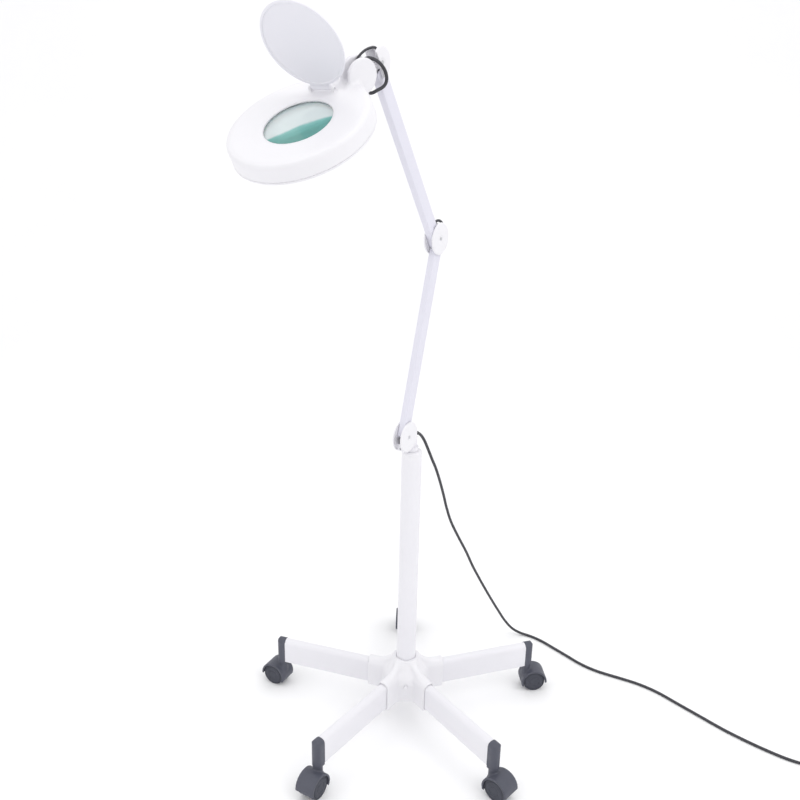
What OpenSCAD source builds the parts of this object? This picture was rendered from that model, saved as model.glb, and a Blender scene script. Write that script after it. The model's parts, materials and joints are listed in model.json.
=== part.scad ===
// Floor-standing magnifying lamp: five-leg caster base, upright pole, two sprung
// parallelogram arms, and a round lamp head with a lens and a hinged cover.
// Millimetres. Origin on the floor under the pole axis, +Z up, one leg along +Y.

/* [Stand] */
// Outer diameter of the upright pole
pole_d = 40; // [38:0.5:42]
// Height of the pole's upper end above the floor
pole_top = 623; // [620:1:626]
// Radius from the pole axis to each caster stem
stem_r = 289; // [280:1:300]
// Width of a leg tube
leg_w = 21; // [20:0.5:22]
// Height of a leg tube
leg_h = 56; // [52:1:58]
// Height of the legs' upper edge above the floor
leg_top = 118; // [117:1:119]

/* [Casters] */
// Diameter of a caster wheel
wheel_d = 48; // [44:1:49]
// Width of one wheel of the pair
wheel_w = 15; // [12:1:16]
// Distance from a stem's axis to its wheels' axle
trail = 17; // [14:1:20]
// Directions in which the five casters trail, counted from +X
caster_yaw = [88, 152, 238, 318, 5]; // [-180:1:360]

/* [Arms] */
// Turn of the arms about the pole, 0 when they point along -Y
arm_turn = -31.35; // [-60:0.05:60]
// Backward lean of the lower arm
lower_lean = 14.75; // [0:0.25:25]
// Length of the lower arm between its joint centres
lower_len = 378; // [340:1:420]
// Forward lean of the upper arm
upper_lean = 34.5; // [20:0.5:50]
// Length of the upper arm between its joint centres
upper_len = 371; // [330:1:410]
// Outer width of the front channels
arm_w = 13; // [12.6:0.1:13.2]
// Diameter of the round joint covers
cover_d = 60; // [58:1:62]

/* [Head] */
// Outer diameter of the lamp head
head_d = 229; // [220:1:236]
// Height of the lamp head
head_h = 33; // [30:1:36]
// Tilt of the head towards the front
head_tilt = 31.75; // [20:0.25:40]
// Diameter of the lens
lens_d = 127; // [120:1:128]
// Diameter of the clear opening above the lens
opening_d = 110; // [104:1:114]
// Diameter of the lens cover
lid_d = 142; // [136:1:148]
// Angle of the open cover from its closed place
lid_open = 85.8; // [60:0.2:95]

/* [Cord] */
// Diameter of the supply cord
cord_d = 6; // [5:0.1:7]

/* [Hidden] */
$fn = 64;
leg_az = [90, 162, 234, 306, 18];
leg_bot = leg_top - leg_h;
D0 = [0, -28, 662];
D1 = D0 + lower_len * [0, sin(lower_lean), cos(lower_lean)];
D2 = D1 + upper_len * [0, -sin(upper_lean), cos(upper_lean)];
plate_in = 6.8;
plate_out = 8.2;
pin_r = 2;
piv_f = -6;       // front pivot's depth in an arm's own frame
piv_r = 6.5;      // rear pivot's depth
low_a = 4;        // lower pivots along the lower arm
low_b = lower_len - 20;
up_a = 6;
up_b = upper_len - 14;
head_c = [-52.2, -280, 1250.7];   // centre of the head's upper rim, in the arms' frame
neck_az = 70;     // direction of the neck in the head's plane, from +X
neck_t = 125.8;   // head centre to tilt bolt
neck_k = 152.8;   // head centre to swivel
neck_h = -4;      // tilt bolt's height over the upper rim plane
hinge_y = 77;
hinge_h = 4.5;

// route of the supply cord: round numbers, each one rests on the last
start_pts = [[11.3, 18.5, 651.5], [15, 24.5, 647], [20, 31, 639], [26.5, 38, 625], [34, 47, 604], [43, 57, 578], [52, 70, 552], [60, 83, 524], [67, 95, 497]];
run_pts = [[67, 95, 497], [74, 109, 467], [81, 122, 436], [93, 140, 393], [111, 160, 347], [134, 181, 294], [152, 200, 247], [170, 218, 205], [188, 235, 165], [208, 251, 123], [228, 266, 83], [247, 277, 48], [267, 284, 21], [288, 285, 7], [312, 277, 3.2], [337, 258, 3.2], [364, 229, 3.2], [391, 199, 3.2], [416, 171, 3.2], [444, 148, 3.2], [472, 132, 3.2], [505, 116, 3.2], [540, 97, 3.2], [575, 70, 3.2], [612, 30, 3.2], [648, -9, 3.2], [684, -48, 3.2], [716, -78, 3.2], [752, -108, 3.2], [790, -135, 3.2], [828, -156, 3.2], [861, -172, 3.2]];
coil_c = [890, -195];
coil_r = 33;

// ---------- shared shapes ----------
module at_arms() rotate([0, 0, arm_turn]) children();
module at_lower() at_arms() translate(D0) rotate([-lower_lean, 0, 0]) children();
module at_upper() at_arms() translate(D1) rotate([upper_lean, 0, 0]) children();
module at_elbow() at_arms() translate(D1) children();
module at_end() at_arms() translate(D2) rotate([head_tilt, 0, 0]) children();
module at_head() at_arms() translate(head_c) rotate([head_tilt, 0, 0]) children();
module at_neck(r) at_head() rotate([0, 0, neck_az]) translate([r, 0, neck_h]) children();
module at_leg(i) rotate([0, 0, leg_az[i - 1]]) children();
module at_caster(i) at_leg(i) translate([stem_r, 0, 0]) rotate([0, 0, caster_yaw[i - 1] - leg_az[i - 1]]) children();
module xcyl(r, x0, x1, fn = 48) translate([x0, 0, 0]) rotate([0, 90, 0]) cylinder(r = r, h = x1 - x0, $fn = fn);
module both() { children(); mirror([1, 0, 0]) children(); }
module leg_shape(w, h, z0) {
  translate([-w / 2, z0]) square([w, h - w / 2]);
  translate([0, z0 + h - w / 2]) circle(d = w);
}
module radial(r0, r1) translate([r0, 0, 0]) rotate([90, 0, 90]) linear_extrude(r1 - r0) children();

// swept tube: rings square to the route
function dir(p, i) = let (a = p[max(i - 1, 0)], b = p[min(i + 1, len(p) - 1)], d = b - a) d / norm(d);
function ring(p, i, r, n) = let (t = dir(p, i), u0 = cross(t, abs(t[2]) > 0.9 ? [0, 1, 0] : [0, 0, 1]), u = u0 / norm(u0), v = cross(t, u))
  [for (k = [0 : n - 1]) p[i] + r * (cos(360 * k / n) * u + sin(360 * k / n) * v)];
module tube(p, r, n = 8) {
  m = len(p);
  pts = [for (i = [0 : m - 1]) each ring(p, i, r, n)];
  sides = [for (i = [0 : m - 2], k = [0 : n - 1]) let (a = i * n + k, b = i * n + (k + 1) % n) each [[a, b + n, b], [a, a + n, b + n]]];
  polyhedron(points = pts, faces = concat([[for (k = [0 : n - 1]) k]], sides, [[for (k = [n - 1 : -1 : 0]) (m - 1) * n + k]]), convexity = 6);
}
// smooth route through hand-set points
function cr(a, b, c, d, t) = 0.5 * (2 * b + (c - a) * t + (2 * a - 5 * b + 4 * c - d) * t * t + (3 * b - 3 * c + d - a) * t * t * t);
function smooth(p, n) = [for (i = [0 : len(p) - 2], k = [0 : n - 1])
  cr(p[max(i - 1, 0)], p[i], p[i + 1], p[min(i + 2, len(p) - 1)], k / n), p[len(p) - 1]];

// ---------- base ----------
module hub() color("whitesmoke") difference() {
  union() {
    rotate_extrude($fn = 96) polygon([[20.05, 57], [50, 57], [50, 108], [44, 117], [37, 124], [31, 132], [27.5, 139], [26, 144], [20.05, 144]]);
    translate([0, 0, 57]) cylinder(r = 30, h = 5);
    for (i = [1 : 5]) at_leg(i) radial(30, 82) leg_shape(leg_w + 6, leg_h + 7.5, leg_bot - 4.5);
  }
  for (i = [1 : 5]) at_leg(i) radial(48, 90) leg_shape(leg_w + 0.1, leg_h + 0.05, leg_bot);
  translate([0, 0, 62]) cylinder(r = 20.05, h = 90);
  rotate([0, 0, -90]) translate([40, 0, 96]) rotate([0, 90, 0]) cylinder(r = 2.5, h = 20);
}
module hub_screw() color("white") rotate([0, 0, -90]) translate([0, 0, 96]) rotate([0, 90, 0]) {
  translate([0, 0, 42]) cylinder(r = 2.45, h = 8);
  translate([0, 0, 50]) cylinder(r1 = 4.2, r2 = 3.2, h = 2);
}
module pole() color("whitesmoke") difference() {
  translate([0, 0, 62]) cylinder(d = pole_d, h = pole_top - 14 - 62, $fn = 96);
  translate([0, 0, 61]) cylinder(d = pole_d - 3, h = pole_top, $fn = 96);
}
module pole_insert() color("whitesmoke") rotate_extrude($fn = 96)
  polygon([[6.05, 566], [pole_d / 2 - 1.6, 566], [pole_d / 2 - 1.6, pole_top - 14], [pole_d / 2, pole_top - 14], [pole_d / 2, pole_top - 4],
    for (a = [0 : 15 : 90]) [pole_d / 2 - 4 + 4 * cos(a), pole_top - 4 + 4 * sin(a)], [6.05, pole_top]]);
module leg(i) color("whitesmoke") at_leg(i) difference() {
  radial(48, stem_r - 8.5) leg_shape(leg_w, leg_h, leg_bot);
  radial(47, stem_r) leg_shape(leg_w - 3, leg_h - 3, leg_bot + 1.5);
}
module leg_caps() color("dimgray") for (i = [1 : 5]) at_leg(i) difference() {
  union() {
    intersection() {
      translate([stem_r, 0, 0]) rotate_extrude() polygon([[0, 59], [11.3, 59], [11.3, 108.5], [10.6, 112], [8.6, 115], [5.5, 117.5], [2.5, 118.6], [0, 119]]);
      translate([stem_r - 8.4, -15, 50]) cube([40, 30, 80]);
    }
    translate([stem_r - 8.4, -11.2, 59]) cube([8.4, 22.4, 49]);
    radial(stem_r - 26, stem_r - 8.4) leg_shape(leg_w - 3.2, leg_h - 3.2, leg_bot + 1.6);
    translate([stem_r - 31, -5, 59]) cube([26, 10, leg_bot - 59 - 0.05]);
  }
  translate([stem_r, 0, 50]) cylinder(r = 5, h = 48);
}
module caster_stems() color("silver") for (i = [1 : 5]) at_leg(i) translate([stem_r, 0, 46]) cylinder(r = 5, h = 52);

// ---------- casters ----------
axle_z = wheel_d / 2;
module caster_hood(i) color("dimgray") at_caster(i) difference() {
  union() {
    // hood over both wheels
    difference() {
      translate([trail, 0, axle_z]) rotate([90, 0, 0]) cylinder(r = wheel_d / 2 + 4.5, h = 41, center = true);
      translate([trail, 0, axle_z]) rotate([90, 0, 0]) difference() {
        cylinder(r = wheel_d / 2 + 1.8, h = 60, center = true);
        cylinder(r = wheel_d / 2 + 1.9, h = 7, center = true);
      }
      translate([trail - 40, -40, axle_z - 60]) cube([80, 80, 55]);
      translate([trail, -40, axle_z]) rotate([0, 28, 0]) translate([0, 0, -60]) cube([60, 80, 60]);
    }
    // boss around the stem
    translate([0, 0, 38]) cylinder(r = 9.5, h = 20.5);
    translate([0, -3.4, 30]) cube([12, 6.8, 22]);
    translate([trail, 0, axle_z]) rotate([90, 0, 0]) cylinder(r = 7, h = 7, center = true);
  }
  translate([0, 0, 45.5]) cylinder(r = 5.06, h = 20);
  translate([trail, 0, axle_z]) rotate([90, 0, 0]) cylinder(r = 3, h = 20, center = true);
  for (s = [-1, 1]) translate([trail, s * 13.6, axle_z]) rotate([90, 0, 0]) cylinder(r = wheel_d / 2 + 1.4, h = 20, center = true);
}
module caster_axle(i) color("silver") at_caster(i) translate([trail, 0, axle_z]) rotate([90, 0, 0]) cylinder(r = 3, h = 35.2, center = true);
module caster_wheels(i) color("dimgray") at_caster(i) for (s = [-1, 1]) translate([trail, s * (4 + wheel_w / 2), axle_z]) rotate([-s * 90, 0, 0]) difference() {
  rotate_extrude($fn = 72) polygon([[0, -wheel_w / 2], [wheel_d / 2 - 1.5, -wheel_w / 2], [wheel_d / 2, -wheel_w / 2 + 1.5], [wheel_d / 2, wheel_w / 2 - 2.5], [wheel_d / 2 - 2, wheel_w / 2 - 0.5],
    [wheel_d / 2 - 3, wheel_w / 2 - 0.5], [wheel_d / 2 - 3.6, wheel_w / 2 - 1.2], [wheel_d / 2 - 4.2, wheel_w / 2 - 0.4], [10, wheel_w / 2], [0, wheel_w / 2]]);
  translate([0, 0, -wheel_w]) cylinder(r = 3.06, h = wheel_w + 6.6);
}

// ---------- arms ----------
module plates(r) both() intersection() { xcyl(r, plate_in, plate_out, 96); children(); }
module pivots(a, x, rr) { translate([0, piv_f, a]) xcyl(rr, -x, x); translate([0, piv_r, a]) xcyl(rr, -x, x); }
module cover_disc(r) rotate([0, 90, 0]) rotate_extrude($fn = 96)
  polygon([[1.5, plate_out], [r - 2.8, plate_out], [r - 2.8, plate_in + 0.25], [r, plate_in + 0.25], [r, plate_out + 0.6], [r - 0.7, plate_out + 1.7], [r - 2.2, plate_out + 2.3],
    [r - 6, plate_out + 2.5], [3.4, plate_out + 2.7], [3.1, plate_out + 1.5], [1.5, plate_out + 1.5]]);
module cover_screw() rotate([0, 90, 0]) { translate([0, 0, plate_in]) cylinder(r = 1.5, h = 2.9); translate([0, 0, plate_out + 1.5]) cylinder(r = 3, h = 1.1); }

module arm_bracket() color("lavender") difference() {
  union() {
    at_arms() translate(D0) both() xcyl(27, plate_in, plate_out, 96);
    at_arms() translate([-plate_in - 0.01, -44, 631.5]) cube([2 * plate_in + 0.02, 53, 19]);
    translate([0, 0, 623.3]) cylinder(r = 13, h = 8.3);
    translate([0, 0, 568]) cylinder(r = 6, h = 60);
  }
  at_lower() pivots(low_a, 12, pin_r);
  at_arms() translate(D0) both() xcyl(1.5, plate_in - 0.01, 12);
  // cut the foot's front corner back to the round of the covers
  at_arms() difference() {
    translate([-20, -60, 620]) cube([40, 42, 31]);
    translate(D0) xcyl(29.8, -30, 30, 96);
  }
  at_arms() translate([0, -60, 641]) rotate([-90, 0, 0]) cylinder(r = 1.8, h = 24);
}
module bracket_covers() color("white") at_arms() translate(D0) both() cover_disc(cover_d / 2);
module bracket_fasteners() color("silver") {
  at_lower() pivots(low_a, plate_out, pin_r);
  at_arms() translate(D0) both() cover_screw();
}
// outer channel, open to the rear
module front_channel(a, b) difference() {
  union() {
    translate([-arm_w / 2, -12.5, a]) cube([arm_w, 10.5, b - a]);
    intersection() {
      for (z = [a, b]) translate([0, piv_f, z]) xcyl(6.5, -arm_w / 2, arm_w / 2);
      translate([-arm_w, -20, a - 10]) cube([2 * arm_w, 18, b - a + 20]);
    }
  }
  translate([-arm_w / 2 + 1, -11.5, a - 20]) cube([arm_w - 2, 20, b - a + 40]);
  for (z = [a, b]) translate([0, piv_f, z]) xcyl(pin_r + 0.05, -20, 20);
  translate([0, -20, b - 28]) rotate([-90, 0, 0]) cylinder(r = 1.6, h = 12);
  translate([0, -20, a + 9]) rotate([-90, 0, 0]) cylinder(r = 1.6, h = 12);
}
// inner channel, open to the front and nested in the outer one
module rear_channel(a, b) difference() {
  union() {
    translate([-arm_w / 2 + 1.3, -3.5, a]) cube([arm_w - 2.6, 16, b - a]);
    for (z = [a, b]) translate([0, piv_r, z]) xcyl(6, -arm_w / 2 + 1.3, arm_w / 2 - 1.3);
  }
  translate([-arm_w / 2 + 2.3, -10, a - 20]) cube([arm_w - 4.6, 21.5, b - a + 40]);
  for (z = [a, b]) {
    translate([0, piv_r, z]) xcyl(pin_r + 0.05, -20, 20);
    translate([-20, -10, z - 14]) cube([40, 11.7, 28]);
  }
}
module spring(a, b) translate([0, 3, 0]) {
  n = 22; k = 8;
  helix = [for (i = [0 : n * k]) [2.9 * cos(360 * i / k), 2.9 * sin(360 * i / k), a + (b - a) * i / (n * k)]];
  tube(helix, 0.55, 4);
}
module lower_front_channel() color("white") at_lower() front_channel(low_a, low_b);
module lower_rear_channel() color("white") at_lower() rear_channel(low_a, low_b);
module lower_spring() color("silver") at_lower() spring(40, 210);
module elbow_bracket() color("lavender") difference() {
  union() {
    at_elbow() both() xcyl(27, plate_in, plate_out, 96);
    at_elbow() translate([0, 21, 4]) xcyl(4, -plate_in - 0.5, plate_in + 0.5);
  }
  at_lower() pivots(low_b, 12, pin_r);
  at_upper() pivots(up_a, 12, pin_r);
  at_elbow() both() xcyl(1.5, plate_in - 0.01, 12);
}
module elbow_covers() color("white") at_elbow() both() cover_disc(cover_d / 2);
module elbow_fasteners() color("silver") {
  at_lower() pivots(low_b, plate_out, pin_r);
  at_upper() pivots(up_a, plate_out, pin_r);
  at_elbow() both() cover_screw();
}
module upper_front_channel() color("white") at_upper() front_channel(up_a, up_b);
module upper_rear_channel() color("white") at_upper() difference() {
  rear_channel(up_a, up_b);
  // slot where the cord comes out
  translate([-3.2, 9, 23]) cube([6.4, 8, 14]);
}
module upper_spring() color("silver") at_upper() spring(150, 320);

// ---------- end joint ----------
module end_cut(x) at_end() translate([-30, -60 - 8, -40]) cube([60, 60, 80]);
module end_bracket() color("lavender") difference() {
  union() {
    difference() { at_arms() translate(D2) both() xcyl(21, plate_in, plate_out, 96); end_cut(); }
    at_end() translate([-plate_in - 0.01, -8, -6.4]) cube([2 * plate_in + 0.02, 9.5, 11]);
    at_end() translate([-5, -17.2, -6.4]) cube([10, 10, 9.8]);
    at_neck(neck_k) translate([0, 0, -4.9]) cylinder(r = 6, h = 9.8);
  }
  at_upper() pivots(up_b, 12, pin_r);
  at_arms() translate(D2) both() xcyl(1.5, plate_in - 0.01, 12);
  at_neck(neck_k) cylinder(r = 2.55, h = 40, center = true);
}
module end_covers() color("white") difference() {
  at_arms() translate(D2) both() cover_disc(24);
  end_cut();
}
module end_fasteners() color("silver") {
  at_upper() pivots(up_b, plate_out, pin_r);
  at_arms() translate(D2) both() cover_screw();
}
module head_knuckle() color("lavender") at_neck(0) difference() {
  union() {
    for (z = [5.3, -8.8]) {
      translate([neck_k, 0, z]) cylinder(r = 5.5, h = 3.5);
      translate([neck_k - 12, -5.5, z]) cube([12, 11, 3.5]);
    }
    translate([neck_t, -6.1, -8.8]) cube([neck_k - neck_t - 7, 12.2, 17.6]);
    translate([neck_t, 0, 0]) rotate([90, 0, 0]) cylinder(r = 14, h = 12.2, center = true);
  }
  translate([neck_k, 0, 0]) cylinder(r = 6.6, h = 10.6, center = true);
  translate([neck_k, 0, 0]) cylinder(r = 2.5, h = 60, center = true);
  translate([neck_t, 0, 0]) rotate([90, 0, 0]) cylinder(r = 4.05, h = 40, center = true);
}
module swivel_pin() color("silver") at_neck(neck_k) {
  translate([0, 0, -8.8]) cylinder(r = 2.5, h = 17.6);
  translate([0, 0, 8.8]) cylinder(r = 4, h = 2);
  translate([0, 0, -10.4]) cylinder(r = 3.6, h = 1.6);
}
module tilt_pin() color("silver") at_neck(neck_t) rotate([90, 0, 0]) cylinder(r = 4, h = 22, center = true);

// ---------- head ----------
R = head_d / 2;
module cheek(s) translate([neck_t, s * 9.7, 0]) rotate([90, 0, 0]) intersection() {
  cylinder(r = 25, h = 6.6, center = true, $fn = 96);
}
module head_housing() color("white") difference() {
  union() {
    difference() {
      union() {
        // dished annular top with a rolled rim and a plain side wall
        at_head() rotate_extrude($fn = 128) polygon([[opening_d / 2, -3.2], [opening_d / 2 + 2, -1.6], [opening_d / 2 + 7, -1.8], [R - 26, -0.6], [R - 8, 0.1], [R - 3.5, -0.6], [R - 1, -2.6], [R, -6], [R + 0.8, -head_h + 4.5],
          [R - 1.8, -head_h + 4.5], [R - 2.4, -6], [R - 5, -3.2], [R - 26, -3.4], [lens_d / 2 + 3, -4.6], [lens_d / 2 + 3, -11], [lens_d / 2 + 0.5, -11], [lens_d / 2 + 0.5, -6], [opening_d / 2, -6]]);
        // neck: two cheeks with the tilt bolt's bore, on feet that grow out of the side wall
        at_neck(0) {
          cheek(1); cheek(-1);
          for (s = [-1, 1]) translate([96, s * 9.7 - 3.3, -21]) cube([32, 6.6, 25]);
        }
        at_head() for (s = [-1, 1]) translate([s * 22, hinge_y, hinge_h]) rotate([0, 90, 0]) translate([0, 0, -2.5]) { cylinder(r = 3.4, h = 5); translate([0, -3.4, 0]) cube([5.5, 6.8, 5]); }
      }
      // the hollow inside stays open
      at_head() translate([0, 0, -3.5 - 40]) difference() { cylinder(r = R - 2.6, h = 40, $fn = 128); cylinder(r = lens_d / 2 + 3, h = 40, $fn = 128); }
    }
    // thick part of the wall behind the knuckle's pocket
    at_neck(0) translate([101.5, -12.4, -22.3]) cube([11.2, 24.8, 22.6]);
  }
  at_head() translate([0, 0, -60]) cylinder(r = R + 20, h = 60 - head_h + 4.5);
  at_neck(neck_t) rotate([90, 0, 0]) cylinder(r = 15.5, h = 13.6, center = true);
  at_neck(neck_t) rotate([90, 0, 0]) cylinder(r = 4, h = 22, center = true);
  at_head() translate([-40, hinge_y, hinge_h]) rotate([0, 90, 0]) cylinder(r = 1.55, h = 80);
  at_head() rotate([0, 0, 135]) translate([R - 20, 0, -17]) rotate([0, 90, 0]) cylinder(r = 5.06, h = 40);
}
module head_base() color("whitesmoke") at_head() rotate_extrude($fn = 128)
  polygon([[R - 14, -head_h], [R, -head_h], [R + 1.2, -head_h + 2], [R + 0.8, -head_h + 4.4], [R - 14, -head_h + 4.4]]);
module light_ring() color("white") at_head() rotate_extrude($fn = 96) polygon([[lens_d / 2 + 3.2, -8], [100, -8], [100, -6.4], [lens_d / 2 + 3.2, -6.4]]);
module diffuser() color("ghostwhite") at_head() rotate_extrude($fn = 128)
  polygon([[lens_d / 2 + 3, -15], [lens_d / 2 + 5, -15], [lens_d / 2 + 5, -head_h + 2.5], [R - 14, -head_h + 2.5], [R - 14, -head_h + 0.5], [lens_d / 2 - 1, -head_h + 0.5], [lens_d / 2 - 1, -head_h + 2.5], [lens_d / 2 + 3, -head_h + 2.5]]);
module lens() color("lightcyan", 0.5) at_head() rotate_extrude($fn = 128)
  polygon([[0, -4.2], for (a = [0.1 : 0.1 : 1.001]) [a * (lens_d / 2 - 2.5), -4.2 - 4.3 * a * a], [lens_d / 2, -8.5], [lens_d / 2, -11.5], for (a = [1 : -0.1 : 0.05]) [a * (lens_d / 2 - 2.5), -15.8 + 4.3 * a * a], [0, -15.8]]);
module lens_ring() color("white") at_head() rotate_extrude($fn = 96)
  polygon([[lens_d / 2 + 0.1, -11], [lens_d / 2 + 2.9, -11], [lens_d / 2 + 2.9, -15], [lens_d / 2 - 2.2, -15], [lens_d / 2 - 2.2, -11.5], [lens_d / 2 + 0.1, -11.5]]);
module switch_button() color("white") at_head() rotate([0, 0, 135]) translate([R, 0, -17]) rotate([0, 90, 0]) {
  translate([0, 0, -6]) cylinder(r = 5, h = 9);
  translate([0, 0, -7.5]) cylinder(r = 6.5, h = 2);
}
module lens_cover() color("lavender") at_head() translate([0, hinge_y, hinge_h]) rotate([-lid_open, 0, 0]) translate([0, -hinge_y, -hinge_h]) difference() {
  union() {
    translate([0, 0, 1.2]) rotate_extrude($fn = 128) polygon([[0, 1.6], [40, 1.2], [lid_d / 2 - 5, 0.4], [lid_d / 2 - 2.2, -0.6], [lid_d / 2 - 0.6, -0.6], [lid_d / 2, 0.4], [lid_d / 2 - 0.4, 1.6], [lid_d / 2 - 3, 2.6], [45, 3.5], [0, 4]]);
    translate([-19, hinge_y - 12, hinge_h - 2.6]) cube([38, 12, 3.6]);
    translate([-19, hinge_y, hinge_h]) rotate([0, 90, 0]) cylinder(r = 3.2, h = 38);
    translate([0, -lid_d / 2 + 1, 2.4]) rotate([90, 0, 0]) cylinder(r = 1.2, h = 3);
  }
  translate([-40, hinge_y, hinge_h]) rotate([0, 90, 0]) cylinder(r = 1.55, h = 80);
}
module cover_hinge_pin() color("silver") at_head() translate([-25, hinge_y, hinge_h]) rotate([0, 90, 0]) cylinder(r = 1.5, h = 50);

// ---------- cords ----------
module elbow_cord() color("black") at_elbow() tube(smooth([[0, -19, 25], [0, -12, 29.5], [0, -4, 31.8], [0, 5, 32.2], [0, 13, 30.2], [0, 20, 25.5], [0, 22.5, 18.5], [0, 18.5, 11.5], [0, 12.5, 5], [0, 7, -1.5], [0, 1.5, -8], [0, -3, -14]], 3), 2.5, 8);
module head_cord() color("black") at_arms() {
  tube(smooth([[-6.2, -184.3, 1324.3], [-5, -184, 1327], [-2, -180, 1335], [4, -172, 1339], [11, -161, 1335.5], [14.8, -149, 1327], [15.2, -139, 1315.5], [14.8, -138, 1304.5], [12, -143, 1297], [6, -151.9, 1291.5], [1.8, -154.6, 1288.7], [-2.5, -157.7, 1287.7], [-6.1, -161.2, 1289.4], [-8, -164.5, 1293.4], [-8.3, -167.7, 1298.3]], 3), 2.7, 8);
  tube(smooth([[-11.8, -186.3, 1322.8], [-11.5, -187, 1327], [-9, -181, 1340], [-5.5, -169, 1349.5], [-3, -155, 1354], [-2.5, -142, 1353.5], [-2, -133, 1346]], 3), 2.7, 8);
}
module cord_relief() color("dimgray") at_arms() {
  translate([-plate_in, -11, 650.5]) cube([2 * plate_in, 10, 13.5]);
  translate([0, -3, 662.5]) rotate([-114, 0, 0]) cylinder(r1 = 5.6, r2 = 3.6, h = 26.4);
}
module cord_start() color("black") tube(smooth(start_pts, 2), cord_d / 2);
module supply_cord() color("black") tube(smooth(run_pts, 2), cord_d / 2);
module cord_coil() color("black") translate([coil_c[0], coil_c[1], 0]) rotate_extrude() polygon([[coil_r - 6, 0.2], [coil_r + 6.5, 0.2], [coil_r + 6.5, 12.5], [coil_r - 6, 12.5]]);
module plug() color("black") translate([coil_c[0] + coil_r, coil_c[1], 6.4]) {
  translate([5, 0, 0]) rotate([0, 90, 0]) cylinder(r = cord_d / 2, h = 14);
  translate([18, -11, -6]) cube([34, 22, 14]);
  for (s = [-1, 1]) translate([52, s * 6.5, 0]) rotate([0, 90, 0]) cylinder(r = 2.4, h = 19);
}

hub();
hub_screw();
pole();
pole_insert();
leg(1);  // leg_1
leg(2);  // leg_2
leg(3);  // leg_3
leg(4);  // leg_4
leg(5);  // leg_5
leg_caps();
caster_stems();
caster_hood(1);  // caster_hood_1
caster_hood(2);  // caster_hood_2
caster_hood(3);  // caster_hood_3
caster_hood(4);  // caster_hood_4
caster_hood(5);  // caster_hood_5
caster_axle(1);  // caster_axle_1
caster_axle(2);  // caster_axle_2
caster_axle(3);  // caster_axle_3
caster_axle(4);  // caster_axle_4
caster_axle(5);  // caster_axle_5
caster_wheels(1);  // caster_wheels_1
caster_wheels(2);  // caster_wheels_2
caster_wheels(3);  // caster_wheels_3
caster_wheels(4);  // caster_wheels_4
caster_wheels(5);  // caster_wheels_5
arm_bracket();
bracket_covers();
bracket_fasteners();
lower_front_channel();
lower_rear_channel();
lower_spring();
elbow_bracket();
elbow_covers();
elbow_fasteners();
upper_front_channel();
upper_rear_channel();
upper_spring();
end_bracket();
end_covers();
end_fasteners();
head_knuckle();
swivel_pin();
tilt_pin();
head_housing();
head_base();
light_ring();
diffuser();
lens();
lens_ring();
switch_button();
lens_cover();
cover_hinge_pin();
elbow_cord();
head_cord();
cord_relief();
cord_start();
supply_cord();
cord_coil();
plug();
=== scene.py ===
"""Magnifying lamp on a five-leg caster base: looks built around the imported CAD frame."""
import bpy
import json
import math
import numpy as np
from mathutils import Matrix, Vector


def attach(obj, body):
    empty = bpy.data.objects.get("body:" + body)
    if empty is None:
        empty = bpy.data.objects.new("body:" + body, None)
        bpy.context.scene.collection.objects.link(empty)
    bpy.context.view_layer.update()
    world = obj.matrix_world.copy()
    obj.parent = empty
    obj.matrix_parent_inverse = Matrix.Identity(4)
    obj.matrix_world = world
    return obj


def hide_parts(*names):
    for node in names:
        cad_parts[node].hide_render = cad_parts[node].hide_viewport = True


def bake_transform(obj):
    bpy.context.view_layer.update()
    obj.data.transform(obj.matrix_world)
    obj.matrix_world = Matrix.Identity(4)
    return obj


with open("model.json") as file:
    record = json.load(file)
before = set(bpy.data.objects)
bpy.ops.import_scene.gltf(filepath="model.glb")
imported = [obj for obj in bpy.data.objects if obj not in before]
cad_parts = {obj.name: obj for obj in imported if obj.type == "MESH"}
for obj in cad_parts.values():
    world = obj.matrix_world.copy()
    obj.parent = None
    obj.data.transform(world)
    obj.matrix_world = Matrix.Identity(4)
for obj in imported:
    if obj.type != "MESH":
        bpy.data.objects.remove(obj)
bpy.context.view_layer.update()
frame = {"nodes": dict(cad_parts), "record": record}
SC = bpy.context.scene
MM = 0.001

# ------------------------------------------------------------------ camera
def rx(a): c, s = math.cos(a), math.sin(a); return np.array([[1, 0, 0], [0, c, -s], [0, s, c]])
def ry(a): c, s = math.cos(a), math.sin(a); return np.array([[c, 0, s], [0, 1, 0], [-s, 0, c]])
def rz(a): c, s = math.cos(a), math.sin(a); return np.array([[c, -s, 0], [s, c, 0], [0, 0, 1]])
def rad(a): return math.radians(a)

cam_d = bpy.data.cameras.new("camera")
cam_d.lens, cam_d.sensor_width = 40.92, 36.0
cam_d.clip_end = 50
cam = bpy.data.objects.new("camera", cam_d)
SC.collection.objects.link(cam)
Rm = rz(-0.0080) @ rx(-0.3605) @ ry(-0.0228)
M = np.column_stack([Rm[:, 0], Rm[:, 2], -Rm[:, 1]])
cam.matrix_world = Matrix.Translation((-0.0384, -1.6297, 1.3412)) @ Matrix(M.tolist()).to_4x4()
SC.camera = cam

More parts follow.
